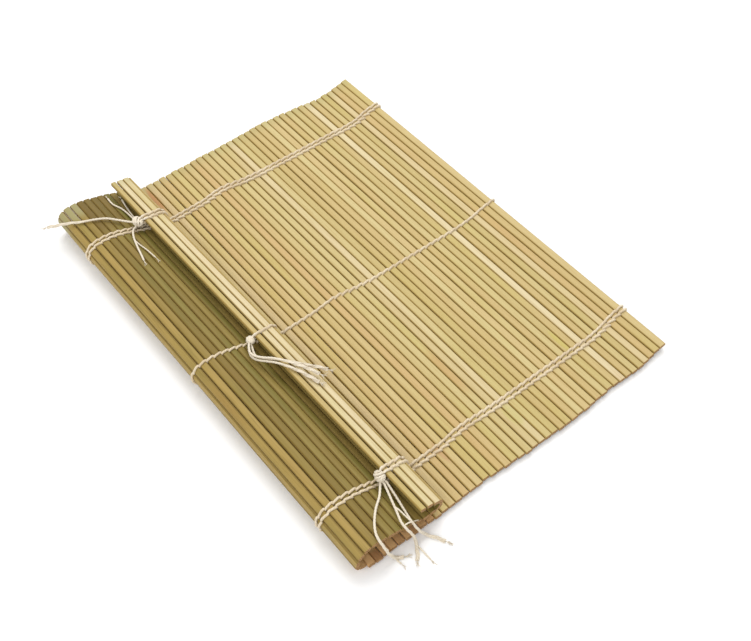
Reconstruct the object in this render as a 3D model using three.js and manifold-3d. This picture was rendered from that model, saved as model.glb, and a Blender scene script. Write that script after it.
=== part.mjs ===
// Sushi rolling mat: bamboo slats twined together with cotton, lying with its knotted end folded over.
// X runs across the slats, Y along them and Z up. The origin is the middle of the underside. Millimetres.
import * as THREE from "three";
import * as BufferGeometryUtils from "three/addons/utils/BufferGeometryUtils.js";
import Module from "manifold-3d";

const wasm = await Module();
wasm.setup();

// Driving dimensions
const slatLength = 240;
const slatThickness = 1.9;
const slatGap = 0.45;
const slatChamfer = 0.35;
const lengthScatter = 0.3;
const webThickness = 0.7;
const webSpan = 1.3;
const webRecess = 4;
const twineWidth = 1.2;
const twineWaist = 0.7;
const twineThickness = 0.75;
const pairSpacing = 2.5;
const clearance = 0.37;
const tailDiameter = 1.1;
const tailStep = 2.75;
const tailSides = 8;

// Where the plain edge and the slats' middle lie, so that the mat is centred on the origin
const plainEdgeX = 89.4;
const slatMiddleY = -0.3;

// How the mat lies, from the plain edge to the knotted edge. A row is a run of like slats.
// heading: direction across the first slat, degrees from +X towards +Z; turn: added for each next slat;
// pitch: slat to slat; fan: how much further along X the near end lies; slide: shift along the slats.
const runs = [
  { run: "lifted edge", slats: 4, heading: 188, turn: -2, pitch: 3.85, fan: 0, slide: 0 },
  { run: "flat", slats: 41, heading: 180, turn: 0, pitch: 3.83, fan: 0, slide: 0 },
  { run: "fold", slats: 4, heading: 158, turn: -40, pitch: 3.75, fan: 1.6, slide: 1 },
  { run: "crest", slats: 3, heading: 8, turn: -8, pitch: 3.75, fan: 2.2, slide: 1 },
  { run: "slope", slats: 5, heading: -15, turn: -2, pitch: 3.75, fan: 2.6, slide: 1 },
  { run: "landing", slats: 2, heading: 0, turn: 0, pitch: 3.75, fan: 2.8, slide: 0.8 },
  { run: "curl", slats: 2, heading: 50, turn: 58, pitch: 3.5, fan: 3, slide: 0.6 },
  { run: "top leg", slats: 3, heading: 168, turn: 0, pitch: 3.4, fan: 3, slide: 0.5 },
];
const flatLayerZ = twineThickness + clearance + slatThickness / 2;

// How far the slats' ends depart from straight at the mat's near and far edges, by slat number
const endWave = [
  { slat: 0, near: 1.7, far: 0.1 },
  { slat: 3, near: 0.5, far: -1.6 },
  { slat: 5, near: -0.2, far: -2.4 },
  { slat: 9, near: 0.7, far: -0.4 },
  { slat: 13, near: -0.8, far: 0.9 },
  { slat: 15, near: -0.9, far: 1.1 },
  { slat: 18, near: -0.9, far: 0.4 },
  { slat: 23, near: -0.6, far: 0.6 },
  { slat: 28, near: 0.7, far: 0 },
  { slat: 35, near: 0, far: -0.1 },
  { slat: 63, near: 0, far: 0 },
];

// Cotton lines: the far and near ones are pairs of rows, set off to both sides of their path
const lines = [
  { line: "far_a", path: "far", offset: pairSpacing / 2 },
  { line: "far_b", path: "far", offset: -pairSpacing / 2 },
  { line: "middle", path: "middle", offset: 0 },
  { line: "near_a", path: "near", offset: pairSpacing / 2 },
  { line: "near_b", path: "near", offset: -pairSpacing / 2 },
];

// The Y at which each path crosses the slats, by distance along the mat from the plain edge
const linePaths = [
  { along: 0, far: 91.2, middle: -2.3, near: -92.4 },
  { along: 8, far: 91, middle: -2.6, near: -92.7 },
  { along: 16, far: 88.8, middle: -3.9, near: -94.3 },
  { along: 24, far: 88.3, middle: -4.5, near: -95.2 },
  { along: 32, far: 88.7, middle: -4.6, near: -95.2 },
  { along: 80, far: 89.5, middle: -4, near: -95.2 },
  { along: 90, far: 90.3, middle: -3, near: -94.9 },
  { along: 100, far: 92.3, middle: -1.5, near: -94.4 },
  { along: 106, far: 91.8, middle: -2.1, near: -94.8 },
  { along: 112, far: 90.4, middle: -2.8, near: -95.8 },
  { along: 132, far: 90, middle: -3.2, near: -96.1 },
  { along: 184, far: 90.4, middle: -2, near: -95 },
  { along: 200, far: 90.1, middle: -2.6, near: -95.1 },
  { along: 212, far: 89.3, middle: -2.9, near: -95.8 },
  { along: 232, far: 89.4, middle: -4, near: -95.4 },
  { along: 242, far: 88.8, middle: -5, near: -95.6 },
];

// Knots at the knotted edge: centre and half sizes
const knots = [
  { knot: "far", x: -60.8, y: 89.7, z: 14.5, halfX: 2.6, halfY: 3.2, halfZ: 2.2 },
  { knot: "middle", x: -59.3, y: -5.2, z: 14.3, halfX: 2.3, halfY: 2.6, halfZ: 2.1 },
  { knot: "near", x: -58.1, y: -96.5, z: 14.8, halfX: 2.3, halfY: 3, halfZ: 2.6 },
];
const knotCore = 0.72;
const knotTube = 0.3;
const knotTubeSides = 6;
const knotRingSteps = 12;
const knotRings = [
  { tiltX: 20, tiltY: 0 },
  { tiltX: 75, tiltY: 30 },
  { tiltX: -60, tiltY: 60 },
];

// Free ends of twine, from their knots outwards
const tails = [
  {
    tail: "far",
    route: [
      [-63.2, 92, 13.9],
      [-65, 94.4, 13.7],
      [-67.2, 97, 13.8],
      [-71.8, 101.2, 14.7],
      [-77.4, 103.8, 15.4],
      [-82.6, 106.4, 15.2],
      [-87.4, 110.2, 14.4],
      [-91.8, 113.9, 12.9],
      [-96.2, 117.6, 11.2],
    ],
  },
  {
    tail: "middle_1",
    route: [
      [-60.4, -7.8, 13],
      [-61.9, -12.2, 13],
      [-61.3, -15.6, 13.9],
      [-59.6, -19.2, 15.4],
      [-57.2, -22.9, 16.7],
      [-54.2, -26.5, 16.9],
      [-50.4, -30.6, 16],
      [-47.1, -34.2, 15.3],
      [-43.9, -37.4, 14.5],
      [-41.8, -39.6, 13.6],
    ],
  },
  {
    tail: "middle_2",
    route: [
      [-61.5, -7.2, 14.5],
      [-63.2, -10.6, 14.4],
      [-63, -14, 15],
      [-61.2, -17.8, 16.2],
      [-58.4, -22.2, 17.9],
      [-55.3, -26.6, 18.1],
      [-51.8, -31.6, 17.3],
      [-49.2, -36, 16.8],
      [-47, -40.8, 16.2],
    ],
  },
  {
    tail: "middle_3",
    route: [
      [-61.7, -7.1, 12.8],
      [-62.7, -9, 12.7],
      [-63.6, -12, 12.9],
      [-63.1, -15.6, 13.8],
      [-61.2, -19.6, 15.4],
      [-58.6, -24, 16.8],
      [-55.8, -29, 17.1],
      [-53.1, -33.8, 16.4],
      [-51.2, -38.6, 15.9],
      [-49.4, -43.8, 15.4],
    ],
  },
  {
    tail: "near_1",
    route: [
      [-59.9, -99.1, 13.3],
      [-63.4, -103, 13.2],
      [-68.4, -107, 14.2],
      [-73, -112, 15.2],
      [-75.8, -116.8, 15.5],
      [-76.2, -120.7, 14.6],
      [-75.2, -122.3, 10.4],
      [-73.6, -122.7, 5],
      [-71.6, -123.4, 1.4],
      [-68.6, -124.9, 0.6],
    ],
  },
  {
    tail: "near_2",
    route: [
      [-58.3, -99.9, 13.3],
      [-60, -106, 12.4],
      [-62.1, -112.4, 12.8],
      [-63.8, -117.4, 13.2],
      [-63.7, -120.6, 12.1],
      [-62.2, -122.2, 8.4],
      [-61.2, -122.8, 4.4],
      [-61.6, -124.6, 1.2],
      [-63.4, -127.2, 0.6],
      [-65.4, -129.6, 0.6],
    ],
  },
  {
    tail: "near_3",
    route: [
      [-56.9, -99.6, 12.9],
      [-57.6, -106.4, 11.6],
      [-58.8, -113, 11.4],
      [-59.8, -118.2, 11.7],
      [-59.5, -121.4, 9.9],
      [-58, -122.5, 6],
      [-56.2, -123, 2.4],
      [-54.2, -124.8, 0.7],
      [-52.5, -127.5, 0.6],
      [-51.1, -130.2, 0.6],
    ],
  },
];

const bamboo = new THREE.MeshStandardMaterial({ color: 0xd9c48e, roughness: 0.62, metalness: 0 });
const cotton = new THREE.MeshStandardMaterial({ color: 0xe6d8c4, roughness: 0.9, metalness: 0 });

const mat = new THREE.Group();

function addMesh(name, geometry, material) {
  const mesh = new THREE.Mesh(geometry, material);
  mesh.name = name;
  mat.add(mesh);
  return mesh;
}

// A repeatable value from -1 to 1 for piece number n
function scatter(n, salt) {
  const wave = Math.sin(n * 12.9898 + salt * 78.233) * 43758.5453;
  return 2 * (wave - Math.floor(wave)) - 1;
}

function direction(degrees) {
  const angle = THREE.MathUtils.degToRad(degrees);
  return new THREE.Vector2(Math.cos(angle), Math.sin(angle));
}

// A column's value at a place that may fall between two rows of a table
function valueAt(table, key, place, column) {
  const next = table.findIndex((row) => row[key] >= place);
  if (next === -1) return table[table.length - 1][column];
  if (next === 0) return table[0][column];
  const before = table[next - 1];
  const share = (place - before[key]) / (table[next][key] - before[key]);
  return THREE.MathUtils.lerp(before[column], table[next][column], share);
}

// The hinges between the slats, in the XZ plane, with the distance along the mat
function layChain() {
  const hinges = [{ at: new THREE.Vector2(0, 0), along: 0, fan: 0 }];
  const slats = [];
  let fanBefore = 0;
  for (const row of runs) {
    for (let i = 0; i < row.slats; i += 1) {
      const heading = row.heading + row.turn * i;
      const last = hinges[hinges.length - 1];
      const share = (i + 1) / row.slats;
      hinges.push({
        at: last.at.clone().addScaledVector(direction(heading), row.pitch),
        along: last.along + row.pitch,
        fan: THREE.MathUtils.lerp(fanBefore, row.fan, share),
      });
      slats.push({ heading, pitch: row.pitch, slide: row.slide, run: row.run });
    }
    fanBefore = row.fan;
  }
  const drop = flatLayerZ - hinges[runs[0].slats].at.y;
  for (const hinge of hinges) {
    hinge.at.add(new THREE.Vector2(plainEdgeX, drop));
  }
  return { hinges, slats };
}

const { hinges, slats } = layChain();
const knottedEnd = hinges.length - 1;
const lastFlatHinge = runs[0].slats + runs[1].slats - 1;

// Near and far places of a point of the chain: the near end fans towards +X
function endPoint(hinge, atNear) {
  const side = atNear ? 0.5 : -0.5;
  return hinge.at.clone().add(new THREE.Vector2(hinge.fan * side, 0));
}

// A closed prism between a near and a far outline with as many points, wound towards -Y
function prism(nearOutline, farOutline, nearY, farY) {
  const count = nearOutline.length;
  const positions = [];
  for (const point of nearOutline) positions.push(point.x, nearY, point.y);
  for (const point of farOutline) positions.push(point.x, farY, point.y);
  const triangles = [];
  for (let i = 0; i < count; i += 1) {
    const next = (i + 1) % count;
    triangles.push(i, i + count, next);
    triangles.push(next, i + count, next + count);
  }
  for (let i = 1; i < count - 1; i += 1) {
    triangles.push(0, i, i + 1);
    triangles.push(count, count + i + 1, count + i);
  }
  return new wasm.Manifold(
    new wasm.Mesh({
      numProp: 3,
      vertProperties: new Float32Array(positions),
      triVerts: new Uint32Array(triangles),
    }),
  );
}

// A slat's section between two hinges, with its long edges taken off
function slatOutline(from, to) {
  const across = to.clone().sub(from).normalize();
  const up = new THREE.Vector2(-across.y, across.x);
  const middle = from.clone().add(to).multiplyScalar(0.5);
  const halfWidth = (to.distanceTo(from) - slatGap) / 2;
  const halfThickness = slatThickness / 2;
  const corner = (w, t) => middle.clone().addScaledVector(across, w).addScaledVector(up, t);
  const insideW = halfWidth - slatChamfer;
  const insideT = halfThickness - slatChamfer;
  return [
    corner(-insideW, -halfThickness),
    corner(insideW, -halfThickness),
    corner(halfWidth, -insideT),
    corner(halfWidth, insideT),
    corner(insideW, halfThickness),
    corner(-insideW, halfThickness),
    corner(-halfWidth, insideT),
    corner(-halfWidth, -insideT),
  ];
}

function slatSolid(k) {
  const middleY = slatMiddleY + slats[k].slide;
  const nearShift = valueAt(endWave, "slat", k, "near") + lengthScatter * scatter(k, 1);
  const farShift = valueAt(endWave, "slat", k, "far") + lengthScatter * scatter(k, 2);
  const near = slatOutline(endPoint(hinges[k], true), endPoint(hinges[k + 1], true));
  const far = slatOutline(endPoint(hinges[k], false), endPoint(hinges[k + 1], false));
  return prism(near, far, middleY - slatLength / 2 + nearShift, middleY + slatLength / 2 + farShift);
}

// A thin strip over a hinge that holds two slats together
function webSolid(k) {
  const along = direction((slats[k - 1].heading + slats[k].heading) / 2);
  const up = new THREE.Vector2(-along.y, along.x);
  const outline = (atNear) => {
    const hinge = endPoint(hinges[k], atNear);
    const corner = (w, t) => hinge.clone().addScaledVector(along, w).addScaledVector(up, t);
    const w = webSpan / 2;
    const t = webThickness / 2;
    return [corner(-w, -t), corner(w, -t), corner(w, t), corner(-w, t)];
  };
  const reach = slatLength / 2 - webRecess;
  return prism(outline(true), outline(false), slatMiddleY - reach, slatMiddleY + reach);
}

function geometryOf(solid) {
  const { vertProperties, triVerts } = solid.getMesh();
  const geometry = new THREE.BufferGeometry();
  geometry.setAttribute("position", new THREE.BufferAttribute(vertProperties, 3));
  geometry.setIndex(new THREE.BufferAttribute(triVerts, 1));
  return geometry;
}

function solidOf(geometry) {
  const bare = geometry.clone();
  bare.deleteAttribute("normal");
  bare.deleteAttribute("uv");
  const merged = BufferGeometryUtils.mergeVertices(bare);
  return new wasm.Manifold(
    new wasm.Mesh({
      numProp: 3,
      vertProperties: merged.attributes.position.array,
      triVerts: new Uint32Array(merged.index.array),
    }),
  );
}

// The slats, joined over their hinges into the one folded sheet
function buildSlatSheet() {
  let sheet = slatSolid(0);
  for (let k = 1; k < slats.length; k += 1) {
    sheet = sheet.add(slatSolid(k)).add(webSolid(k));
  }
  addMesh("slat_sheet", geometryOf(sheet), bamboo);
}

// The Y of a line at a distance along the mat from the plain edge
function lineY(line, along) {
  return valueAt(linePaths, "along", along, line.path) + line.offset;
}

// The fan of a hinge at one place along the slats
function fanAt(hinge, y) {
  return (-hinge.fan * y) / slatLength;
}

// A twine station beside hinge k: side 1 is the pale face and -1 the green one
function hingeStation(line, k, side, width) {
  const hinge = hinges[k];
  const before = slats[Math.max(k - 1, 0)].heading;
  const after = slats[Math.min(k, slats.length - 1)].heading;
  const mitre = Math.cos(THREE.MathUtils.degToRad((after - before) / 2));
  const out = direction((before + after) / 2 - 90).multiplyScalar(side / mitre);
  const y = lineY(line, hinge.along);
  const base = hinge.at.clone().add(new THREE.Vector2(fanAt(hinge, y), 0));
  const near = slatThickness / 2 + clearance;
  const inner = base.clone().addScaledVector(out, near);
  const outer = base.clone().addScaledVector(out, near + twineThickness);
  return { inner, outer, y, width };
}

// The widest part of a stitch, over the middle of slat k
function slatStation(line, k, side) {
  const from = hingeStation(line, k, side, twineWidth);
  const to = hingeStation(line, k + 1, side, twineWidth);
  return {
    inner: from.inner.lerp(to.inner, 0.5),
    outer: from.outer.lerp(to.outer, 0.5),
    y: (from.y + to.y) / 2,
    width: twineWidth,
  };
}

// A station where the twine turns round the plain edge of the mat
function edgeStation(line, side) {
  const turned = hingeStation(line, 0, side, twineWidth);
  const onward = direction(slats[0].heading + 180);
  turned.inner.addScaledVector(onward, clearance);
  turned.outer.addScaledVector(onward, clearance + twineThickness);
  return turned;
}

// Stitches over the slats from hinge first to hinge last: narrow at each hinge, wide on each slat
function stitches(line, first, last, side) {
  const stations = [hingeStation(line, first, side, twineWaist)];
  for (let k = first; k < last; k += 1) {
    stations.push(slatStation(line, k, side), hingeStation(line, k + 1, side, twineWaist));
  }
  return stations;
}

// The twine under the flat layer: plain and straight, with few stations
function underside(line) {
  const straightFrom = runs[0].slats;
  const stations = [];
  for (let k = 1; k < straightFrom; k += 1) stations.push(hingeStation(line, k, -1, twineWidth));
  stations.push(hingeStation(line, straightFrom, -1, twineWidth));
  stations.push(hingeStation(line, lastFlatHinge, -1, twineWidth));
  return stations;
}

// A closed strip of twine through its stations
function twineStrip(stations) {
  const positions = [];
  const triangles = [];
  for (const { inner, outer, y, width } of stations) {
    const low = y - width / 2;
    const high = y + width / 2;
    positions.push(inner.x, low, inner.y, inner.x, high, inner.y);
    positions.push(outer.x, high, outer.y, outer.x, low, outer.y);
  }
  for (let s = 0; s < stations.length - 1; s += 1) {
    for (let i = 0; i < 4; i += 1) {
      const a = s * 4 + i;
      const b = s * 4 + ((i + 1) % 4);
      triangles.push(a, b, a + 4);
      triangles.push(b, b + 4, a + 4);
    }
  }
  const end = (stations.length - 1) * 4;
  triangles.push(0, 2, 1, 0, 3, 2);
  triangles.push(end, end + 1, end + 2, end, end + 2, end + 3);
  const geometry = new THREE.BufferGeometry();
  geometry.setAttribute("position", new THREE.Float32BufferAttribute(positions, 3));
  geometry.setIndex(triangles);
  return geometry;
}

// A line of twine: one strip round the flat layer and its plain edge, and one on each face
// of the folded layer, as far as the knot that joins them
function buildLine(line) {
  const flat = [
    ...stitches(line, 1, lastFlatHinge, 1).reverse(),
    edgeStation(line, 1),
    edgeStation(line, -1),
    ...underside(line),
  ];
  addMesh(`twine_${line.line}_flat`, twineStrip(flat), cotton);

  const skin = stitches(line, lastFlatHinge + 1, knottedEnd - 1, -1);
  skin.push(slatStation(line, knottedEnd - 1, -1));
  addMesh(`twine_${line.line}_skin`, twineStrip(skin), cotton);

  const pale = stitches(line, lastFlatHinge + 1, knottedEnd, 1).reverse();
  addMesh(`twine_${line.line}_pale`, twineStrip(pale), cotton);
}

// A knot: rings of twine drawn tight round a small core
function buildKnot({ knot, x, y, z, halfX, halfY, halfZ }) {
  const core = new THREE.IcosahedronGeometry(knotCore, 1);
  const ring = new THREE.TorusGeometry(1 - knotTube, knotTube, knotTubeSides, knotRingSteps);
  let solid = solidOf(core);
  for (const { tiltX, tiltY } of knotRings) {
    solid = solid.add(solidOf(ring).rotate([tiltX, tiltY, 0]));
  }
  const placed = solid.scale([halfX, halfY, halfZ]).translate([x, y, z]);
  addMesh(`knot_${knot}`, geometryOf(placed), cotton);
}

// A free end of twine along its hand-laid route
function buildTail({ tail, route }) {
  const path = new THREE.CatmullRomCurve3(route.map(([x, y, z]) => new THREE.Vector3(x, y, z)));
  const section = new THREE.Shape();
  for (let i = 0; i < tailSides; i += 1) {
    const corner = direction((360 * i) / tailSides).multiplyScalar(tailDiameter / 2);
    if (i === 0) section.moveTo(corner.x, corner.y);
    else section.lineTo(corner.x, corner.y);
  }
  const steps = Math.ceil(path.getLength() / tailStep);
  const tube = new THREE.ExtrudeGeometry(section, { steps, extrudePath: path });
  addMesh(`tail_${tail}`, geometryOf(solidOf(tube)), cotton);
}

buildSlatSheet();
for (const line of lines) buildLine(line);
for (const knot of knots) buildKnot(knot);
for (const tail of tails) buildTail(tail);

export default mat;
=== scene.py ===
# Sushi rolling mat: the looks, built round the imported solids.
# Tables are in millimetres, as in the part's source; meshes are in metres.
import math
import random

import bpy
from mathutils import Matrix, Vector


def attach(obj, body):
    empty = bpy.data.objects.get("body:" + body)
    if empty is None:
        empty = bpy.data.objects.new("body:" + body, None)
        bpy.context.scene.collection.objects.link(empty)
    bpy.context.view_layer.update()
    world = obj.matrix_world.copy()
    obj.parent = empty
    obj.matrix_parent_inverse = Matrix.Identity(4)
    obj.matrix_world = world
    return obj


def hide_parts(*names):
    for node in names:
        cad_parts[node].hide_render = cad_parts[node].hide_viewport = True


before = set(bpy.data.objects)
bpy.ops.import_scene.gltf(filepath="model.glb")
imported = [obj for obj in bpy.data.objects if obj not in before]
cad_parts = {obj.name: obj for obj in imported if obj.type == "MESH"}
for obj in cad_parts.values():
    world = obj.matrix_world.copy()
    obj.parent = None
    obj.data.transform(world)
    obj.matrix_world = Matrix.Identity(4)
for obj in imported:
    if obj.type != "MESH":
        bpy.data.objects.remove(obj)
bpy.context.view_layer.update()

MM = 0.001
PER_METRE = 1000

# Sizes of the mat
SLAT_LENGTH = 240
SLAT_THICKNESS = 1.9
SLAT_GAP = 0.36
LENGTH_SCATTER = 0.3
PAIR_SPACING = 2.35
CLEARANCE = 0.37
TWINE_THICKNESS = 0.75
TAIL_DIAMETER = 1.1
PLAIN_EDGE_X = 89.4
SLAT_MIDDLE_Y = -0.3

# How the mat lies, from the plain edge to the knotted edge. A row is a run of like slats:
# name, slats, heading and its turn for each next slat in degrees, pitch, fan, slide.
RUNS = (
    ("lifted edge", 4, 188, -2, 3.85, 0, 0),
    ("flat", 41, 180, 0, 3.83, 0, 0),
    ("fold", 4, 158, -40, 3.75, 1.6, 1),
    ("crest", 3, 8, -8, 3.75, 2.2, 1),
    ("slope", 5, -15, -2, 3.75, 2.6, 1),
    ("landing", 2, 0, 0, 3.75, 2.8, 0.8),
    ("curl", 2, 50, 58, 3.5, 3, 0.6),
    ("top leg", 3, 168, 0, 3.4, 3, 0.5),
)
FLAT_LAYER_Z = TWINE_THICKNESS + CLEARANCE + SLAT_THICKNESS / 2

# How far the slats' ends depart from straight: slat number, near end, far end
END_WAVE = (
    (0, 1.7, 0.1),
    (3, 0.5, -1.6),
    (5, -0.2, -2.4),
    (9, 0.7, -0.4),
    (13, -0.8, 0.9),
    (15, -0.9, 1.1),
    (18, -0.9, 0.4),
    (23, -0.6, 0.6),
    (28, 0.7, 0),
    (35, 0, -0.1),
    (63, 0, 0),
)

# Cotton lines: name, column of its path in LINE_PATHS, offset from the path, way that its stitches slant
LINES = (
    ("far_a", 1, PAIR_SPACING / 2, 1),
    ("far_b", 1, -PAIR_SPACING / 2, -1),
    ("middle", 2, 0, 1),
    ("near_a", 3, PAIR_SPACING / 2, 1),
    ("near_b", 3, -PAIR_SPACING / 2, -1),
)

# Distance along the mat from the plain edge, and the Y of the far, middle and near paths there
LINE_PATHS = (
    (0, 91.2, -2.3, -92.4),
    (8, 91, -2.6, -92.7),
    (16, 88.8, -3.9, -94.3),
    (24, 88.3, -4.5, -95.2),
    (32, 88.7, -4.6, -95.2),
    (80, 89.5, -4, -95.2),
    (90, 90.3, -3, -94.9),
    (100, 92.3, -1.5, -94.4),
    (106, 91.8, -2.1, -94.8),
    (112, 90.4, -2.8, -95.8),
    (132, 90, -3.2, -96.1),
    (184, 90.4, -2, -95),
    (200, 90.1, -2.6, -95.1),
    (212, 89.3, -2.9, -95.8),
    (232, 89.4, -4, -95.4),
    (242, 88.8, -5, -95.6),
)

# Routes of the free twine ends, from their knots outwards, as in the part's source
TAILS = {
    "far": (
        (-63.2, 92, 13.9), (-65, 94.4, 13.7), (-67.2, 97, 13.8), (-71.8, 101.2, 14.7), (-77.4, 103.8, 15.4),
        (-82.6, 106.4, 15.2), (-87.4, 110.2, 14.4), (-91.8, 113.9, 12.9), (-96.2, 117.6, 11.2),
    ),
    "middle_1": (
        (-60.4, -7.8, 13), (-61.9, -12.2, 13), (-61.3, -15.6, 13.9), (-59.6, -19.2, 15.4),
        (-57.2, -22.9, 16.7), (-54.2, -26.5, 16.9), (-50.4, -30.6, 16), (-47.1, -34.2, 15.3),
        (-43.9, -37.4, 14.5), (-41.8, -39.6, 13.6),
    ),
    "middle_2": (
        (-61.5, -7.2, 14.5), (-63.2, -10.6, 14.4), (-63, -14, 15), (-61.2, -17.8, 16.2),
        (-58.4, -22.2, 17.9), (-55.3, -26.6, 18.1), (-51.8, -31.6, 17.3), (-49.2, -36, 16.8),
        (-47, -40.8, 16.2),
    ),
    "middle_3": (
        (-61.7, -7.1, 12.8), (-62.7, -9, 12.7), (-63.6, -12, 12.9), (-63.1, -15.6, 13.8),
        (-61.2, -19.6, 15.4), (-58.6, -24, 16.8), (-55.8, -29, 17.1), (-53.1, -33.8, 16.4),
        (-51.2, -38.6, 15.9), (-49.4, -43.8, 15.4),
    ),
    "near_1": (
        (-59.9, -99.1, 13.3), (-63.4, -103, 13.2), (-68.4, -107, 14.2), (-73, -112, 15.2),
        (-75.8, -116.8, 15.5), (-76.2, -120.7, 14.6), (-75.2, -122.3, 10.4), (-73.6, -122.7, 5),
        (-71.6, -123.4, 1.4), (-68.6, -124.9, 0.6),
    ),
    "near_2": (
        (-58.3, -99.9, 13.3), (-60, -106, 12.4), (-62.1, -112.4, 12.8), (-63.8, -117.4, 13.2),
        (-63.7, -120.6, 12.1), (-62.2, -122.2, 8.4), (-61.2, -122.8, 4.4), (-61.6, -124.6, 1.2),
        (-63.4, -127.2, 0.6), (-65.4, -129.6, 0.6),
    ),
    "near_3": (
        (-56.9, -99.6, 12.9), (-57.6, -106.4, 11.6), (-58.8, -113, 11.4), (-59.8, -118.2, 11.7),
        (-59.5, -121.4, 9.9), (-58, -122.5, 6), (-56.2, -123, 2.4), (-54.2, -124.8, 0.7),
        (-52.5, -127.5, 0.6), (-51.1, -130.2, 0.6),
    ),
}

# Knots at the knotted edge: centre, half sizes and turn in degrees
KNOTS = {
    "far": ((-60.8, 89.7, 14.5), (2.6, 3.2, 2.2), (60, 10, -50)),
    "middle": ((-59.3, -5.2, 14.3), (2.3, 2.6, 2.1), (70, 20, -25)),
    "near": ((-58.1, -96.5, 14.8), (2.3, 3, 2.6), (75, -10, -15)),
}

# Short strands at the knots, too short for cords: knot, diameter and route
SHORT_STRANDS = (
    ("far", 0.9, (
        (-61, 91, 13.4), (-60.6, 96, 11.6), (-60.6, 101.8, 10.7), (-61.3, 106.5, 10.6),
        (-63.2, 111, 11.1), (-63.2, 116, 11.1),
    )),
    ("far", 0.9, (
        (-60, 91, 13.2), (-59.6, 96, 11), (-58.9, 103, 10), (-58.1, 108.6, 9.2), (-57.3, 113.1, 8.7),
    )),
    ("far", 1.05, (
        (-62, 88.6, 13.6), (-64.9, 87.6, 13), (-66.8, 84.4, 12.8), (-67.9, 81.1, 12.8),
        (-69.3, 75.8, 13.2), (-70.3, 71.3, 13.5), (-71.4, 66.5, 13.8),
    )),
    ("far", 0.7, (
        (-67.8, 81.6, 12.9), (-67.3, 77.4, 12.7), (-66.3, 72.7, 12.4), (-65.5, 66.1, 12.1),
    )),
    ("near", 0.75, (
        (-61.4, -110.4, 12.8), (-60.9, -113, 12.9), (-60.6, -115.6, 12.5), (-60.1, -118.6, 11.8),
    )),
    ("near", 0.7, (
        (-64.4, -119.3, 12.7), (-62.8, -119.2, 12.6), (-61.2, -119.2, 12.2), (-59.9, -119.3, 11.6),
    )),
    ("near", 0.7, (
        (-72.6, -122.9, 3), (-71.8, -123.6, 1), (-71.5, -124.8, 0.5), (-71.2, -126.6, 0.45),
    )),
    ("near", 0.7, (
        (-61.4, -123.6, 2.4), (-61.2, -125, 0.9), (-61, -128.4, 0.5), (-60.9, -132.4, 0.45),
    )),
)


def value_at(table, place, column):
    """A column's value at a place that may fall between two rows of a table."""
    if place <= table[0][0]:
        return table[0][column]
    for before, after in zip(table, table[1:]):
        if place <= after[0]:
            share = (place - before[0]) / (after[0] - before[0])
            return before[column] + (after[column] - before[column]) * share
    return table[-1][column]


def scatter(n, salt):
    """A value from -1 to 1 that is always the same for the same two numbers."""
    wave = math.sin(n * 12.9898 + salt * 78.233) * 43758.5453
    return 2 * (wave - math.floor(wave)) - 1


def heading_vector(degrees):
    angle = math.radians(degrees)
    return Vector((math.cos(angle), 0, math.sin(angle)))


def lay_chain():
    """The hinges with their fans and distances along the mat, and the slats' headings and slides."""
    hinges = [Vector((0, 0, 0))]
    fans = [0]
    along = [0]
    headings = []
    slides = []
    fan_before = 0
    for _, count, heading, turn, pitch, fan, slide in RUNS:
        for i in range(count):
            way = heading + turn * i
            hinges.append(hinges[-1] + heading_vector(way) * pitch)
            fans.append(fan_before + (fan - fan_before) * (i + 1) / count)
            along.append(along[-1] + pitch)
            headings.append(way)
            slides.append(slide)
        fan_before = fan
    drop = FLAT_LAYER_Z - hinges[RUNS[0][1]].z
    hinges = [h + Vector((PLAIN_EDGE_X, 0, drop)) for h in hinges]
    return hinges, fans, along, headings, slides


HINGES, FANS, ALONG, HEADINGS, SLIDES = lay_chain()
# The number of slats, and so the last hinge
LAST = len(HEADINGS)


def line_y(line, along):
    return value_at(LINE_PATHS, along, line[1]) + line[2]


def slat_frame(k, y):
    """Middle of slat k at y, its turn, and the direction that its pale face looks in."""
    middle = (HINGES[k] + HINGES[k + 1]) / 2
    fan = (FANS[k] + FANS[k + 1]) / 2
    way = HEADINGS[k]
    turn = (0, math.pi - math.radians(way), fan / SLAT_LENGTH)
    return Vector((middle.x - fan * y / SLAT_LENGTH, y, middle.z)), turn, heading_vector(way - 90)


# Camera: solved by least squares from the photo's slat gaps and edges, with the slats taken as 240 mm.
# Place and target in millimetres, roll in degrees.
CAMERA_PLACE = Vector((-198.09, -284.76, 414.34))
CAMERA_TARGET = Vector((-2.34, -22.8, 0))
CAMERA_ROLL = -1.99
CAMERA_LENS = 54.118
SENSOR_WIDTH = 36


def make_camera():
    data = bpy.data.cameras.new("camera")
    data.lens = CAMERA_LENS
    data.sensor_width = SENSOR_WIDTH
    camera = bpy.data.objects.new("camera", data)
    aim = (CAMERA_TARGET - CAMERA_PLACE).to_track_quat("-Z", "Y").to_matrix()
    turn = aim @ Matrix.Rotation(math.radians(CAMERA_ROLL), 3, "Z")
    camera.matrix_world = Matrix.Translation(CAMERA_PLACE * MM) @ turn.to_4x4()
    bpy.context.scene.collection.objects.link(camera)
    bpy.context.scene.camera = camera


make_camera()


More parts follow.
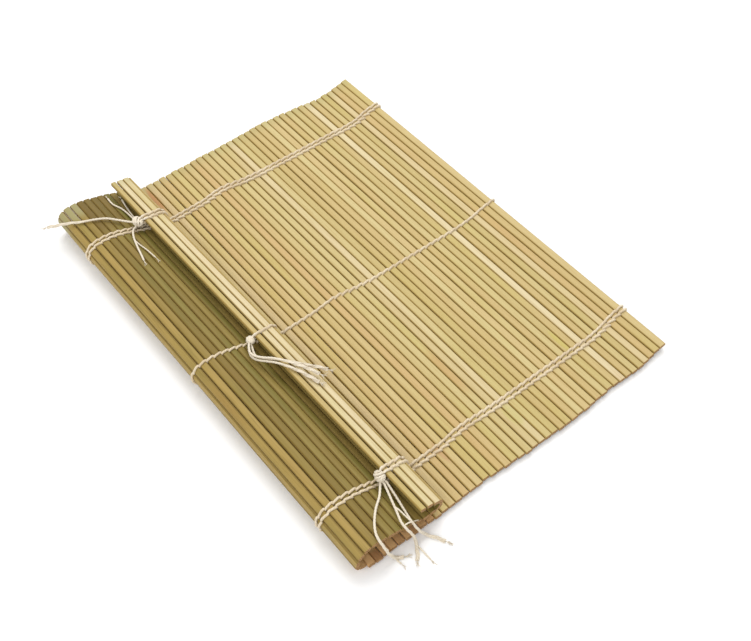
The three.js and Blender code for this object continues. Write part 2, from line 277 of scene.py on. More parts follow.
# Node sockets as Python values, for shader trees and geometry trees alike
class Socket:
    def __init__(self, tree, out):
        self.tree = tree
        self.out = out

    def math(self, operation, *others):
        return self.tree.node("ShaderNodeMath", {"operation": operation}, [self, *others])

    def __add__(self, other):
        return self.math("ADD", other)

    def __sub__(self, other):
        return self.math("SUBTRACT", other)

    def __mul__(self, other):
        return self.math("MULTIPLY", other)

    def __truediv__(self, other):
        return self.math("DIVIDE", other)

    def __pow__(self, other):
        return self.math("POWER", other)

    def __rsub__(self, other):
        return self.tree.node("ShaderNodeMath", {"operation": "SUBTRACT"}, [other, self])

    def sine(self):
        return self.math("SINE")

    def absolute(self):
        return self.math("ABSOLUTE")

    def clamped(self, low, high):
        """0 below low and 1 above high, with a smooth step between."""
        settings = {"interpolation_type": "SMOOTHSTEP"}
        return self.tree.node("ShaderNodeMapRange", settings, [self, low, high, 0, 1])


class Tree:
    def __init__(self, tree):
        self.tree = tree

    def raw(self, kind, settings=None, inputs=()):
        """A node of any kind: its settings first, then the values or links of its sockets."""
        node = self.tree.nodes.new(kind)
        for key, value in (settings or {}).items():
            setattr(node, key, value)
        pairs = inputs.items() if isinstance(inputs, dict) else enumerate(inputs)
        for key, value in pairs:
            if isinstance(value, Socket):
                self.tree.links.new(value.out, node.inputs[key])
            elif value is not None:
                node.inputs[key].default_value = value
        return node

    def node(self, kind, settings=None, inputs=(), output=0):
        return Socket(self, self.raw(kind, settings, inputs).outputs[output])

    def vector(self, x=0, y=0, z=0):
        return self.node("ShaderNodeCombineXYZ", None, [x, y, z])

    def parts(self, vector):
        node = self.raw("ShaderNodeSeparateXYZ", None, [vector])
        return [Socket(self, out) for out in node.outputs]

    def vector_math(self, operation, *values):
        return self.node("ShaderNodeVectorMath", {"operation": operation}, values)


class GeometryTree(Tree):
    """A geometry tree with named inputs for its sizes."""

    def __init__(self, name, sizes):
        tree = bpy.data.node_groups.new(name, "GeometryNodeTree")
        super().__init__(tree)
        tree.interface.new_socket("Geometry", in_out="INPUT", socket_type="NodeSocketGeometry")
        for size in sizes:
            tree.interface.new_socket(size, in_out="INPUT", socket_type="NodeSocketFloat")
        tree.interface.new_socket("Geometry", in_out="OUTPUT", socket_type="NodeSocketGeometry")
        group_input = tree.nodes.new("NodeGroupInput")
        self.given = {out.name: Socket(self, out) for out in group_input.outputs if out.name}

    def read(self, name, kind="FLOAT"):
        return self.node("GeometryNodeInputNamedAttribute", {"data_type": kind}, [name])

    def store(self, geometry, name, value, kind="FLOAT"):
        settings = {"data_type": kind, "domain": "POINT"}
        inputs = {"Geometry": geometry, "Name": name, "Value": value}
        return self.node("GeometryNodeStoreNamedAttribute", settings, inputs)

    def end(self, geometry, material):
        """Every tree ends in real geometry with its material."""
        real = self.node("GeometryNodeRealizeInstances", None, [geometry])
        dressed = self.node("GeometryNodeSetMaterial", None, {"Geometry": real, "Material": material})
        group_output = self.tree.nodes.new("NodeGroupOutput")
        self.tree.links.new(dressed.out, group_output.inputs[0])


def grow(name, geometry_tree, points, sizes):
    """Runs a geometry tree on a points mesh and returns the result as a plain mesh object."""
    seed_object = bpy.data.objects.new(name + "_points", points)
    bpy.context.scene.collection.objects.link(seed_object)
    modifier = seed_object.modifiers.new("grow", "NODES")
    modifier.node_group = geometry_tree.tree
    for item in geometry_tree.tree.interface.items_tree:
        if item.item_type == "SOCKET" and item.in_out == "INPUT" and item.name in sizes:
            modifier[item.identifier] = float(sizes[item.name])
    graph = bpy.context.evaluated_depsgraph_get()
    mesh = bpy.data.meshes.new_from_object(seed_object.evaluated_get(graph))
    seed_object.modifiers.remove(modifier)
    bpy.data.objects.remove(seed_object)
    mesh.name = name
    piece = bpy.data.objects.new(name, mesh)
    bpy.context.scene.collection.objects.link(piece)
    return piece


def points_mesh(name, places, attributes):
    """Loose points with named attributes, the seeds of a geometry tree."""
    mesh = bpy.data.meshes.new(name)
    mesh.from_pydata([p * MM for p in places], [], [])
    for key, values in attributes.items():
        if isinstance(values[0], (int, float)):
            attribute = mesh.attributes.new(key, "FLOAT", "POINT")
            attribute.data.foreach_set("value", [float(v) for v in values])
        else:
            attribute = mesh.attributes.new(key, "FLOAT_VECTOR", "POINT")
            attribute.data.foreach_set("vector", [c for v in values for c in v])
    return mesh


# Materials
class Finish(Tree):
    """A material's tree round its Principled shader."""

    def __init__(self, name):
        self.material = bpy.data.materials.new(name)
        self.material.use_nodes = True
        super().__init__(self.material.node_tree)
        self.shader = self.tree.nodes["Principled BSDF"]

    def attribute(self, name, output="Fac"):
        return self.node("ShaderNodeAttribute", {"attribute_name": name}, (), output)

    def set(self, **values):
        for key, value in values.items():
            socket = self.shader.inputs[key.replace("_", " ").title().replace("Ior", "IOR")]
            if isinstance(value, Socket):
                self.tree.links.new(value.out, socket)
            else:
                socket.default_value = value

    def mix(self, factor, first, second):
        node = self.raw("ShaderNodeMix", {"data_type": "RGBA"})
        for socket, value in ((node.inputs[0], factor), (node.inputs[6], first), (node.inputs[7], second)):
            if isinstance(value, Socket):
                self.tree.links.new(value.out, socket)
            elif isinstance(value, tuple):
                socket.default_value = (*value, 1)
            else:
                socket.default_value = value
        return Socket(self, node.outputs[2])

    def noise(self, vector, scale, detail=3, roughness=0.55):
        inputs = {"Vector": vector, "Scale": scale, "Detail": detail, "Roughness": roughness}
        return self.node("ShaderNodeTexNoise", None, inputs)

    def bump(self, height, strength, distance):
        inputs = {"Height": height, "Strength": strength, "Distance": distance}
        normal = self.node("ShaderNodeBump", None, inputs)
        self.tree.links.new(normal.out, self.shader.inputs["Normal"])


# Stains on the pale face: place, reach, strength and colour
STAINS = (
    ((-41.8, 108), (2, 12), 0.6, (0.42, 0.15, 0.05)),
    ((53.7, -87), (1.9, 9), 0.35, (0.52, 0.46, 0.07)),
    ((10.2, -103), (3.6, 8), 0.45, (0.46, 0.43, 0.12)),
    ((-26.3, -98), (1.9, 8), 0.5, (0.45, 0.25, 0.13)),
)


def bamboo_finish():
    """Split bamboo: pale fibrous inside, olive to brown skin, sides darkened as painted shade in the gaps,
    and darker sawn ends.
    """
    f = Finish("bamboo")
    spot = f.node("ShaderNodeTexCoord", None, (), "Object")
    x, y, z = f.parts(spot)
    seed = f.attribute("seed")
    across, lengthwise, depth = f.parts(f.attribute("place", "Vector"))
    tone = f.attribute("tone")
    warm = f.attribute("warm")
    bright = f.attribute("bright")
    tan = f.attribute("tan")
    near_end_shade = f.attribute("near_end_shade")
    grey_end = f.attribute("grey_end")
    dark_end = f.attribute("dark_end")

    # Fibres run along the slat, and every slat has its own
    grain_at = f.vector(x * PER_METRE + seed * 37, y * 22, z * PER_METRE + seed * 11)
    fibre = f.noise(grain_at, 2.4, 4, 0.6)
    fine = f.noise(f.vector(x * PER_METRE + seed * 53, y * 90, z * PER_METRE), 9, 2, 0.7)
    cloud = f.noise(f.vector(x * 60 + seed * 19, y * 14, seed), 1, 2, 0.5)
    speck = f.noise(f.vector(x * PER_METRE, y * 420 + seed * 7, z * PER_METRE), 2.6, 3, 0.75)
    stain = f.noise(f.vector(seed * 5, y * 11, seed), 1, 1, 0.5)

    pale = f.mix(tone, (0.475, 0.37, 0.145), (0.58, 0.478, 0.232))
    pale = f.mix(warm, pale, (0.54, 0.36, 0.16))
    pale = f.mix(bright, pale, (0.68, 0.58, 0.37))
    pale = f.mix(cloud.clamped(0.5, 0.72) * 0.4, pale, (0.49, 0.41, 0.12))
    pale = f.mix(fibre.clamped(0.42, 0.72) * 0.35, pale, (0.40, 0.26, 0.085))
    pale = f.mix(speck.clamped(0.6, 0.78) * 0.35, pale, (0.30, 0.19, 0.065))
    pale = f.mix(fine.clamped(0.5, 0.8) * 0.4, pale, (0.67, 0.59, 0.34))
    pale = f.mix(stain.clamped(0.7, 0.8) * 0.4, pale, (0.46, 0.22, 0.07))
    pale = f.mix(lengthwise.clamped(0.465, 0.497) * 0.4, pale, (0.37, 0.34, 0.15))
    for (place_x, place_y), (reach_x, reach_y), strength, stain_colour in STAINS:
        off_x = (x * PER_METRE - place_x) / reach_x
        off_y = (y * PER_METRE - place_y) / reach_y
        patch = 1 - (off_x * off_x + off_y * off_y).clamped(0.2, 1)
        pale = f.mix(patch * strength, pale, stain_colour)

    green = f.mix(warm, (0.178, 0.135, 0.024), (0.232, 0.14, 0.03))
    green = f.mix(tone * 0.5, green, (0.275, 0.2, 0.053))
    green = f.mix((seed * 4.7).sine().clamped(0.3, 1) * 0.35, green, (0.155, 0.15, 0.032))
    green = f.mix(tan, green, (0.40, 0.275, 0.08))
    green = f.mix(cloud.clamped(0.45, 0.7) * 0.4, green, (0.15, 0.155, 0.028))
    green = f.mix(fibre.clamped(0.45, 0.75) * 0.4, green, (0.12, 0.08, 0.018))
    green = f.mix(speck.clamped(0.62, 0.8) * 0.3, green, (0.09, 0.055, 0.014))
    green = f.mix(stain.clamped(0.66, 0.78) * 0.45, green, (0.24, 0.11, 0.025))
    # Grey-green far ends of some skins. The paler colour along their rounded edges is a painted highlight.
    grey_and_edge_highlight = f.mix(across.absolute().clamped(0.36, 0.42), (0.33, 0.30, 0.14), (0.62, 0.56, 0.38))
    grey_from = lengthwise + (cloud - 0.5) * 0.06
    green = f.mix(dark_end * lengthwise.clamped(0.37, 0.42) * 0.55, green, (0.14, 0.085, 0.02))
    green = f.mix(grey_end * grey_from.clamped(0.44, 0.475) * 0.85, green, grey_and_edge_highlight)

    on_skin = 1 - depth.clamped(-0.42, -0.2)
    colour = f.mix(on_skin, pale, green)
    # Painted shade: the slats' sides, which face the gaps between slats, are darkened brown to stand in for
    # the shade in the gaps.
    side_shade_mask = across.absolute().clamped(0.34, 0.46)
    gap_shade_colour = f.mix(1 - depth.clamped(-0.4, 0.1), (0.36, 0.24, 0.06), (0.18, 0.115, 0.02))
    colour = f.mix(side_shade_mask * 0.8, colour, gap_shade_colour)
    # Painted shade: the near ends of the slats that lie under the fold are browned, standing in for the
    # shadow of the layer above them.
    shaded_tip = 1 - lengthwise.clamped(-0.486, -0.468)
    tip_shade_colour = f.mix((seed * 2.3).sine() * 0.5 + 0.5, (0.26, 0.11, 0.04), (0.62, 0.37, 0.17))
    colour = f.mix(shaded_tip * near_end_shade * 0.9, colour, tip_shade_colour)
    on_end = lengthwise.absolute().clamped(0.4993, 0.5)
    pores = f.noise(spot, 2600, 2, 0.6)
    end_colour = f.mix(pores.clamped(0.4, 0.6), (0.42, 0.24, 0.09), (0.20, 0.10, 0.035))
    colour = f.mix(on_end, colour, end_colour)

    f.set(base_color=colour, roughness=0.62 - on_skin * 0.14 + fine * 0.1)
    f.shader.inputs["Specular IOR Level"].default_value = 0.22
    f.bump(fibre * 0.6 + fine * 0.3 - speck.clamped(0.62, 0.78) * 0.5, 0.5, 0.00012)
    return f.material


PLY_STRIPES = 4.2


def cotton_finish():
    """Two-ply cotton: stripes of the ply along the thread, with painted shade in the grooves between the
    plies, and soft fuzz.
    """
    f = Finish("cotton")
    run, turn, loose = f.parts(f.attribute("thread", "Vector"))
    spot = f.node("ShaderNodeTexCoord", None, (), "Object")
    ply = (run * PLY_STRIPES + turn * (4 * math.pi)).sine() * 0.5 + 0.5
    fuzz = f.noise(spot, 4200, 3, 0.7)
    patch = f.noise(spot, 160, 2, 0.5)
    colour = f.mix(patch.clamped(0.35, 0.65), (0.66, 0.53, 0.35), (0.77, 0.65, 0.46))
    colour = f.mix(loose * 0.7, colour, (0.84, 0.77, 0.64))
    # Painted shade: darker in the grooves between the plies, less so on the loose ends
    colour = f.mix((1 - ply) * (0.35 - loose * 0.15), colour, (0.44, 0.34, 0.22))
    colour = f.mix(fuzz.clamped(0.55, 0.75) * 0.4, colour, (0.86, 0.79, 0.66))
    f.set(base_color=colour, roughness=0.9)
    f.shader.inputs["Specular IOR Level"].default_value = 0.2
    f.shader.inputs["Sheen Weight"].default_value = 0.3
    f.bump(ply * 0.7 + fuzz * 0.5, 0.6, 0.0002)
    return f.material


BAMBOO = bamboo_finish()
COTTON = cotton_finish()


# Twine as a mesh tube with two twisted plies
SECTION_SIDES = 10
PLY_TURN = 3.2
PLY_WAIST = 0.74
RING_STEP = 0.42
CURVE_STEPS = 12
# Twine up to this diameter has fewer sides
FINE_TWINE = 0.5
FINE_SIDES = 5
STRAND_DIAMETER = 1.05

# Fibres that fan out of a tip, and plies that come untwisted: sizes, and the height they stay above
FIBRE_SHORTEST = 1.6
FIBRE_LONGEST = 3.8
FIBRE_STEP = 0.6
FIBRE_DIAMETER = 0.24
FIBRE_FLOOR = 0.2
LOOSE_PLY_DIAMETER = 0.55
LOOSE_PLY_REACH = 0.3
LOOSE_PLY_TURNS = 1.3
LOOSE_PLY_FLOOR = 0.3


def smooth_route(points, step):
    """Evenly spaced places on a smooth curve through the route's points."""
    pts = [Vector(p) for p in points]
    fine = []
    for i in range(len(pts) - 1):
        a = pts[max(i - 1, 0)]
        b, c = pts[i], pts[i + 1]
        d = pts[min(i + 2, len(pts) - 1)]
        bend = 2 * a - 5 * b + 4 * c - d
        swing = 3 * b - a - 3 * c + d
        for n in range(CURVE_STEPS):
            t = n / CURVE_STEPS
            fine.append(0.5 * (2 * b + (c - a) * t + bend * t**2 + swing * t**3))
    fine.append(pts[-1])
    spaced = [fine[0]]
    for p in fine[1:]:
        while (p - spaced[-1]).length >= step:
            spaced.append(spaced[-1] + (p - spaced[-1]).normalized() * step)
    if (fine[-1] - spaced[-1]).length > step / 4:
        spaced.append(fine[-1])
    return spaced


def add_twine(build, route, diameter, closed=False):
    """Adds one twisted tube along the route to build's lists, in metres, and returns its ring centres."""
    sides = SECTION_SIDES if diameter > FINE_TWINE else FINE_SIDES
    count = len(route)
    normal = Vector((0, 0, 1)).cross(route[1] - route[0])
    if normal.length < 1e-4:
        normal = Vector((1, 0, 0))
    run = 0
    first = len(build["points"])
    for i, centre in enumerate(route):
        before = route[i - 1] if i or closed else centre
        after = route[(i + 1) % count] if i < count - 1 or closed else centre
        way = (after - before).normalized()
        normal = (normal - way * normal.dot(way)).normalized()
        side = way.cross(normal)
        for s in range(sides):
            angle = 2 * math.pi * s / sides
            lobe = abs(math.cos(angle - 2 * math.pi * run / PLY_TURN))
            reach = diameter / 2 * (PLY_WAIST + (1 - PLY_WAIST) * lobe)
            place = centre + (normal * math.cos(angle) + side * math.sin(angle)) * reach
            build["points"].append(place * MM)
            build["thread"].append((run, s / sides, 1))
        if i < count - 1:
            run += (route[i + 1] - centre).length
    rings = count if closed else count - 1
    for i in range(rings):
        here = first + i * sides
        there = first + ((i + 1) % count) * sides
        for s in range(sides):
            t = (s + 1) % sides
            build["faces"].append((here + s, here + t, there + t, there + s))
    if not closed:
        build["faces"].append(tuple(first + s for s in reversed(range(sides))))
        end = first + (count - 1) * sides
        build["faces"].append(tuple(end + s for s in range(sides)))
    return [p * MM for p in route]


def new_build():
    return {"points": [], "faces": [], "thread": []}


def finish_twine(name, build):
    mesh = bpy.data.meshes.new(name)
    mesh.from_pydata(build["points"], [], build["faces"])
    thread = mesh.attributes.new("thread", "FLOAT_VECTOR", "POINT")
    thread.data.foreach_set("vector", [c for v in build["thread"] for c in v])
    mesh.polygons.foreach_set("use_smooth", [len(p.vertices) == 4 for p in mesh.polygons])
    mesh.materials.append(COTTON)
    piece = bpy.data.objects.new(name, mesh)
    bpy.context.scene.collection.objects.link(piece)
    return piece


def frayed_tip(build, route, strands, spread, rng):
    """Loose fibres that fan out of the end of a tail."""
    end = route[-1]
    way = (end - route[-4]).normalized()
    for _ in range(strands):
        lean = Vector([rng.uniform(-spread, spread) for _ in range(3)])
        reach = rng.uniform(FIBRE_SHORTEST, FIBRE_LONGEST)
        far = end + (way + lean).normalized() * reach
        middle = end + (way + lean * 0.4).normalized() * reach * 0.5
        for p in (middle, far):
            p.z = max(p.z, FIBRE_FLOOR)
        fibre = smooth_route((end - way * FIBRE_STEP, middle, far), FIBRE_STEP)
        add_twine(build, fibre, FIBRE_DIAMETER)


def loose_plies(build, route, first, plies, spread):
    """Plies that come untwisted over the last part of a tail."""
    part = route[int(first * len(route)):]
    for n in range(plies):
        places = []
        for i, centre in enumerate(part):
            share = i / (len(part) - 1)
            way = (part[min(i + 1, len(part) - 1)] - part[max(i - 1, 0)]).normalized()
            side = way.cross(Vector((0.3, 0.2, 1))).normalized()
            lift = side.cross(way)
            angle = 2 * math.pi * (n / plies + LOOSE_PLY_TURNS * share)
            reach = LOOSE_PLY_REACH + (spread - LOOSE_PLY_REACH) * share
            place = centre + (side * math.cos(angle) + lift * math.sin(angle)) * reach
            places.append(Vector((place.x, place.y, max(place.z, LOOSE_PLY_FLOOR))))
        add_twine(build, places, LOOSE_PLY_DIAMETER)


def length_of(path):
    return sum((b - a).length for a, b in zip(path, path[1:]))


def make_tails():
    """Free twine ends: the first pieces, because their routes settle where the cords lie."""
    rng = random.Random(4)
    for name, points in TAILS.items():
        route = smooth_route(points, RING_STEP)
        build = new_build()
        path = add_twine(build, route, TAIL_DIAMETER)
        tail = finish_twine("free_end_" + name, build)
        tips = new_build()
        loose_plies(tips, route, first=0.5, plies=3, spread=0.7)
        frayed_tip(tips, route, strands=9, spread=0.45, rng=rng)
        fray = finish_twine("fray_" + name, tips)
        for piece in (tail, fray):
            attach(piece, "root")
        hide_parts("tail_" + name)
        round(length_of(path), 3)


make_tails()


# Slats paler than the rest on the pale face, and tan ones on the skin face, by number from the plain edge
BRIGHT_SLATS = {3: 0.4, 7: 0.8, 20: 0.6, 21: 0.3, 33: 0.3, 60: 0.4, 61: 0.8, 62: 0.9}
TAN_SKINS = {44: 0.9, 45: 1, 46: 1, 47: 0.9, 48: 0.8, 49: 0.85, 50: 0.4, 52: 0.25, 54: 0.4, 56: 0.3}
WARM_FROM = 24
WARM_UNTIL = 45
# Slats whose near ends are browned as painted shade, where the fold's layer overhangs them
SHADED_NEAR_ENDS = range(36, 46)
GREY_ENDS = range(46, 51)
DARK_ENDS = range(51, 55)
# The last slat stands a little off the others
LAST_GAP = 0.45
# How the slats differ: share of the gap and its scatter, tilt and skew in radians, share of the thickness
MEAN_GAP = 0.85
GAP_SCATTER = 0.3
TILT_SCATTER = 0.03
SKEW_SCATTER = 0.0006
THICKNESS_SCATTER = 0.05
LOOKS = ("seed", "tone", "warm", "bright", "tan", "near_end_shade", "grey_end", "dark_end")
# The profile is drawn at this width, and stretched to each slat's own
PROFILE_WIDTH = 3.3
ROUNDING = 0.56
LENGTH_STEPS = 25
WAVE = 0.5
WAVE_SEED = 3.7
WAVE_RATE = 9
# From here on along half a slat, its faces are the sawn end
END_FACE = 0.4999


def slat_points():
    places, turns, stretches = [], [], []
    looks = {look: [] for look in LOOKS}
    for k in range(LAST):
        middle_y = SLAT_MIDDLE_Y + SLIDES[k]
        near = middle_y - SLAT_LENGTH / 2 + value_at(END_WAVE, k, 1) + LENGTH_SCATTER * scatter(k, 1)
        far = middle_y + SLAT_LENGTH / 2 + value_at(END_WAVE, k, 2) + LENGTH_SCATTER * scatter(k, 2)
        place, turn, _ = slat_frame(k, (near + far) / 2)
        width = (HINGES[k + 1] - HINGES[k]).length - SLAT_GAP * (MEAN_GAP + GAP_SCATTER * scatter(k, 3))
        if k == LAST - 1:
            width -= LAST_GAP
            place += heading_vector(HEADINGS[k]) * LAST_GAP / 2
        places.append(place)
        tilt, skew = TILT_SCATTER * scatter(k, 4), SKEW_SCATTER * scatter(k, 6)
        turns.append((0, turn[1] + tilt, turn[2] + skew))
        stretches.append((width, far - near, 1 + THICKNESS_SCATTER * scatter(k, 7)))
        looks["seed"].append(k + 0.5 * scatter(k, 8))
        looks["tone"].append(0.5 + 0.4 * scatter(k, 9))
        looks["warm"].append(0.5 * max(0, scatter(k, 10)) + (0.25 if WARM_FROM < k < WARM_UNTIL else 0))
        looks["bright"].append(BRIGHT_SLATS.get(k, 0))
        looks["tan"].append(TAN_SKINS.get(k, 0))
        looks["near_end_shade"].append(1 if k in SHADED_NEAR_ENDS else 0)
        looks["grey_end"].append(1 if k in GREY_ENDS else 0)
        looks["dark_end"].append(1 if k in DARK_ENDS else 0)
    return points_mesh("slat_points", places, {"turn": turns, "stretch": stretches, **looks})


def slat_tree():
    """Places one rounded slat, a unit wide and long, at each point and gives each its own wave."""
    t = GeometryTree("slat_rows", ("Thickness", "Rounding", "Steps", "Wave"))
    given = t.given
    line = t.node("GeometryNodeCurvePrimitiveLine", None, {"Start": (0, -0.5, 0), "End": (0, 0.5, 0)})
    line = t.node("GeometryNodeResampleCurve", None, {"Curve": line, "Count": given["Steps"]})
    inputs = {"Width": PROFILE_WIDTH * MM, "Height": given["Thickness"]}
    profile = t.node("GeometryNodeCurvePrimitiveQuadrilateral", None, inputs)
    inputs = {"Curve": profile, "Count": 2, "Radius": given["Rounding"]}
    profile = t.node("GeometryNodeFilletCurve", {"mode": "POLY"}, inputs)
    slat = t.node(
        "GeometryNodeCurveToMesh", None, {"Curve": line, "Profile Curve": profile, "Fill Caps": True}
    )
    position = t.node("GeometryNodeInputPosition")
    x, y, z = t.parts(position)
    place = t.vector(x / (PROFILE_WIDTH * MM), y, z / given["Thickness"])
    slat = t.store(slat, "place", place, "FLOAT_VECTOR")
    turn = t.node("FunctionNodeEulerToRotation", None, [t.read("turn", "FLOAT_VECTOR")])
    stretch = t.parts(t.read("stretch", "FLOAT_VECTOR"))
    scale = t.vector(stretch[0] * (1 / PROFILE_WIDTH), stretch[1] * MM, stretch[2])
    inputs = {"Points": given["Geometry"], "Instance": slat, "Rotation": turn, "Scale": scale}
    rows = t.node("GeometryNodeInstanceOnPoints", None, inputs)
    rows = t.node("GeometryNodeRealizeInstances", None, [rows])
    # A slow wave along each slat, its own for each
    spot = t.parts(t.node("GeometryNodeInputPosition"))
    seed = t.read("seed")
    wave_at = t.vector(seed * WAVE_SEED, spot[1] * WAVE_RATE, 0)
    wave = t.raw("ShaderNodeTexNoise", None, {"Vector": wave_at, "Scale": 1, "Detail": 1})
    shift = t.vector_math("SUBTRACT", Socket(t, wave.outputs["Color"]), (0.5, 0.5, 0.5))
    shift = t.vector_math("MULTIPLY", shift, t.vector(given["Wave"], 0, given["Wave"]))
    rows = t.node("GeometryNodeSetPosition", None, {"Geometry": rows, "Offset": shift})
    lengthwise = t.parts(t.read("place", "FLOAT_VECTOR"))[1]
    settings = {"data_type": "FLOAT", "operation": "LESS_THAN"}
    long_face = t.node("FunctionNodeCompare", settings, [lengthwise.absolute(), END_FACE])
    rows = t.node("GeometryNodeSetShadeSmooth", None, {"Geometry": rows, "Selection": long_face})
    t.end(rows, BAMBOO)
    return t


def make_slats():
    sizes = {"Thickness": SLAT_THICKNESS * MM, "Rounding": ROUNDING * MM, "Steps": LENGTH_STEPS}
    sizes["Wave"] = WAVE * MM
    tree = slat_tree()
    slats = grow("slats", tree, slat_points(), sizes)
    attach(slats, "root")
    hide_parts("slat_sheet")


make_slats()


# Stitches: a strand over each slat on both faces, dipping into the gaps
STITCH_RISE = 0.45
STITCH_SINK = 0.35
STITCH_SLANT = 0.26
# A stitch is drawn for this pitch, and longer than it, so that it meets the next one
STITCH_PITCH = 3.85
STITCH_SPAN = 4.3
PALE_STITCH_DIAMETER = 1.25
SKIN_STITCH_DIAMETER = 1.15
STITCH_STEPS = 11
STITCH_SIDES = 8


def stitch_tree(name):
    t = GeometryTree(name, ("Pitch", "Slant", "Diameter", "Rise", "Sink"))
    given = t.given
    line = t.node("GeometryNodeCurvePrimitiveLine", None, {"Start": (-0.5, 0, 0), "End": (0.5, 0, 0)})
    line = t.node("GeometryNodeResampleCurve", None, {"Curve": line, "Count": STITCH_STEPS})
    share = t.parts(t.node("GeometryNodeInputPosition"))[0]
    sway = given["Slant"] * (share * math.pi).sine()
    dip = (share * 2).absolute() ** 4
    height = given["Rise"] - (given["Rise"] + given["Sink"]) * dip
    route = t.vector(share * given["Pitch"], sway, height)
    line = t.store(line, "run", share * STITCH_PITCH)
    line = t.node("GeometryNodeSetPosition", None, {"Geometry": line, "Position": route})
    inputs = {"Resolution": STITCH_SIDES, "Radius": given["Diameter"] / 2}
    ring = t.node("GeometryNodeCurvePrimitiveCircle", None, inputs)
    factor = t.node("GeometryNodeSplineParameter", None, (), "Factor")
    ring = t.store(ring, "round", factor)
    inputs = {"Curve": line, "Profile Curve": ring, "Fill Caps": True}
    stitch = t.node("GeometryNodeCurveToMesh", None, inputs)
    stitch = t.store(stitch, "thread", t.vector(t.read("run"), t.read("round"), 0), "FLOAT_VECTOR")
    turn = t.node("FunctionNodeEulerToRotation", None, [t.read("turn", "FLOAT_VECTOR")])
    stretch = t.read("stretch", "FLOAT_VECTOR")
    inputs = {"Points": given["Geometry"], "Instance": stitch, "Rotation": turn, "Scale": stretch}
    rows = t.node("GeometryNodeInstanceOnPoints", None, inputs)
    rows = t.node("GeometryNodeRealizeInstances", None, [rows])
    rows = t.node("GeometryNodeSetShadeSmooth", None, {"Geometry": rows})
    t.end(rows, COTTON)
    return t


def stitch_points(line, side):
    """Seeds on one face: side 1 is the pale face, -1 the skin face."""
    places, turns, stretches = [], [], []
    for k in range(LAST):
        y = line_y(line, (ALONG[k] + ALONG[k + 1]) / 2)
        place, turn, pale = slat_frame(k, y)
        places.append(place + pale * (side * SLAT_THICKNESS / 2))
        flip = 0 if side > 0 else math.pi
        turns.append((flip, turn[1], turn[2]))
        pitch = (HINGES[k + 1] - HINGES[k]).length
        stretches.append((pitch / STITCH_PITCH, 1, 1))
    return points_mesh("stitch_points", places, {"turn": turns, "stretch": stretches})


def make_row(tree, name, line, side, slant, diameter):
    sizes = {"Pitch": STITCH_SPAN, "Slant": slant, "Diameter": diameter}
    sizes.update({"Rise": STITCH_RISE, "Sink": STITCH_SINK})
    sizes = {key: value * MM for key, value in sizes.items()}
    piece = grow(name, tree, stitch_points(line, side), sizes)
    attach(piece, "root")
    return piece


def make_lines():
    tree = stitch_tree("twine_stitches")
    for line in LINES:
        name, slant = line[0], line[3] * STITCH_SLANT
        pale = make_row(tree, f"stitches_{name}_pale", line, 1, slant, PALE_STITCH_DIAMETER)
        skin = make_row(tree, f"stitches_{name}_skin", line, -1, slant, SKIN_STITCH_DIAMETER)
        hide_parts(f"twine_{name}_flat", f"twine_{name}_pale")
        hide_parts(f"twine_{name}_skin")


make_lines()


def edge_place(hinge, way, u, lift, y):
    """A point by an edge of the mat: u past the hinge along way, and lift above the slat's middle plane."""
    pale = heading_vector(way - 90)
    fan = FANS[hinge] * y / SLAT_LENGTH
    return HINGES[hinge] + heading_vector(way) * u + pale * lift + Vector((-fan, y, 0))


# How twine turns round the plain edge: past the hinge, and lift
EDGE_TURN = ((1.2, 1.35), (0.2, 1.45), (-0.55, 1), (-0.75, 0), (-0.55, -1), (0.2, -1.4), (1.2, -1.3))


def make_edge_loops():
    """Twine that turns round the plain edge."""
    build = new_build()
    way = HEADINGS[0]
    for line in LINES:
        y = line_y(line, 0)
        route = [edge_place(0, way, u, lift, y) for u, lift in EDGE_TURN]
        add_twine(build, smooth_route(route, RING_STEP), STRAND_DIAMETER)
    loops = finish_twine("edge_loops", build)
    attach(loops, "root")


make_edge_loops()


# Knots
WRAP_TURNS = 6
WRAP_DIAMETER = 1.2
WRAP_POINTS = 150
KNOT_POINTS = 60
# Visible knots against the half sizes in KNOTS
KNOT_SWELL = {"far": 1.05, "middle": 0.9, "near": 1}
# The trefoil: its ring, how far the lobes swing from it, and its rise
TREFOIL_RING = 1.3
TREFOIL_LOBE = 0.62
TREFOIL_RISE = 0.8
QUARTER_TURN = 90
# Where a lead leaves the last stitch and where it turns round the knotted edge: past the hinge, and lift
LEAD_START = (-1.4, 1.45)
LEAD_TURN = (0.3, 1.35)


def pull_of(name, centre):
    """The way in which a knot's free ends leave it."""
    starts = [Vector(points[0]) for tail, points in TAILS.items() if tail.startswith(name)]
    return sum(starts, Vector()) / len(starts) - Vector(centre)


def spin_of(turn):
    spins = [Matrix.Rotation(math.radians(degrees), 3, axis) for degrees, axis in zip(turn, "XYZ")]
    return spins[2] @ spins[1] @ spins[0]


def wrap_route(name, centre, half):
    """Turns of twine round the strands that the knot holds, a little uneven."""
    spin = pull_of(name, centre).to_track_quat("Z", "X").to_matrix()
    inner = [h - WRAP_DIAMETER / 2 for h in half]
    route = []
    for i in range(WRAP_POINTS):
        share = i / (WRAP_POINTS - 1)
        polar = math.pi * (0.04 + 0.92 * share) + 0.12 * math.sin(9 * share)
        angle = 2 * math.pi * WRAP_TURNS * share
        ring = math.sin(polar)
        shape = Vector((ring * math.cos(angle), ring * math.sin(angle), math.cos(polar)))
        route.append(Vector([c + s * h for c, s, h in zip(centre, spin @ shape, inner)]))
    return route


def knot_route(centre, half, turn):
    """A trefoil drawn tight, scaled to the knot's half sizes."""
    inner = [h - WRAP_DIAMETER / 3 for h in half]
    route = []
    for i in range(KNOT_POINTS):
        a = 2 * math.pi * i / KNOT_POINTS
        ring = TREFOIL_RING + TREFOIL_LOBE * math.cos(3 * a)
        shape = Vector((ring * math.cos(2 * a), ring * math.sin(2 * a), TREFOIL_RISE * math.sin(3 * a)))
        shape /= TREFOIL_RING + TREFOIL_LOBE
        route.append(Vector([c + s * h for c, s, h in zip(centre, spin_of(turn) @ shape, inner)]))
    return route


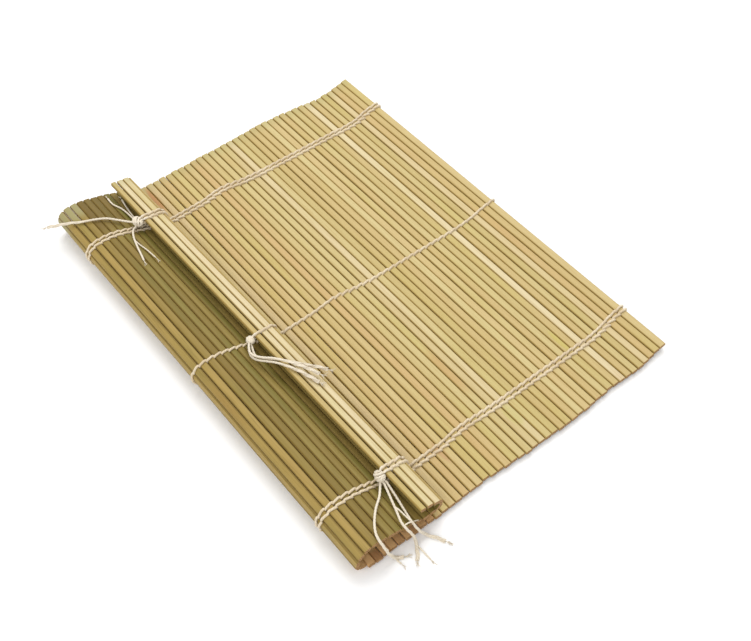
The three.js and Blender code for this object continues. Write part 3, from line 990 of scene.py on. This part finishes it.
def lead_routes(name, centre):
    """Strands from the last stitches, round the knotted edge and into the knot."""
    way = HEADINGS[LAST - 1]
    for line in LINES:
        if not line[0].startswith(name):
            continue
        y = line_y(line, ALONG[LAST])
        for face in (1, -1):
            start = edge_place(LAST, way, LEAD_START[0], LEAD_START[1] * face, y)
            over = edge_place(LAST, way, LEAD_TURN[0], LEAD_TURN[1] * face, y)
            yield (start, over, over.lerp(Vector(centre), 0.6), Vector(centre))


def tail_leads(name, centre):
    """Strands from inside the knot to where each of its free ends starts."""
    for tail, points in TAILS.items():
        if tail.startswith(name):
            start, onward = Vector(points[0]), Vector(points[1])
            inside = Vector(centre).lerp(start, 0.45)
            yield (inside, start, start + (onward - start).normalized() * 0.8)


def make_knots():
    rng = random.Random(9)
    for name, (centre, half, turn) in KNOTS.items():
        build = new_build()
        half = [h * KNOT_SWELL[name] for h in half]
        add_twine(build, wrap_route(name, centre, half), WRAP_DIAMETER)
        tipped = (turn[0] + QUARTER_TURN, turn[1], turn[2])
        add_twine(build, knot_route(centre, half, tipped), STRAND_DIAMETER, closed=True)
        for points in (*lead_routes(name, centre), *tail_leads(name, centre)):
            add_twine(build, smooth_route(points, RING_STEP), STRAND_DIAMETER)
        for knot_name, diameter, points in SHORT_STRANDS:
            if knot_name == name:
                route = smooth_route(points, RING_STEP)
                add_twine(build, route, diameter)
                frayed_tip(build, route, strands=4, spread=0.3, rng=rng)
        knot = finish_twine("tied_" + name, build)
        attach(knot, "root")
        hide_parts("knot_" + name)


make_knots()


# Floor and light, in metres and watts
FLOOR_REACH = 3
WORLD_LIGHT = 0.72


def make_floor():
    mesh = bpy.data.meshes.new("floor")
    r = FLOOR_REACH
    mesh.from_pydata([(-r, -r, 0), (r, -r, 0), (r, r, 0), (-r, r, 0)], [], [(0, 1, 2, 3)])
    f = Finish("floor_white")
    f.set(base_color=(0.96, 0.96, 0.96, 1), roughness=0.9)
    mesh.materials.append(f.material)
    floor = bpy.data.objects.new("floor", mesh)
    bpy.context.scene.collection.objects.link(floor)


def make_light(name, place, size, power):
    data = bpy.data.lights.new(name, "AREA")
    data.size = size
    data.energy = power
    lamp = bpy.data.objects.new(name, data)
    lamp.location = place
    lamp.rotation_euler = (-Vector(place)).to_track_quat("-Z", "Y").to_euler()
    bpy.context.scene.collection.objects.link(lamp)


make_floor()
make_light("key", place=(0.5, 0.5, 1.1), size=1.0, power=10.5)
make_light("fill", place=(-0.9, -0.5, 1.0), size=1.2, power=7)
bpy.context.scene.view_settings.view_transform = "Standard"
world = bpy.data.worlds.new("studio")
world.use_nodes = True
world.node_tree.nodes["Background"].inputs[0].default_value = (1, 1, 1, 1)
world.node_tree.nodes["Background"].inputs[1].default_value = WORLD_LIGHT
bpy.context.scene.world = world
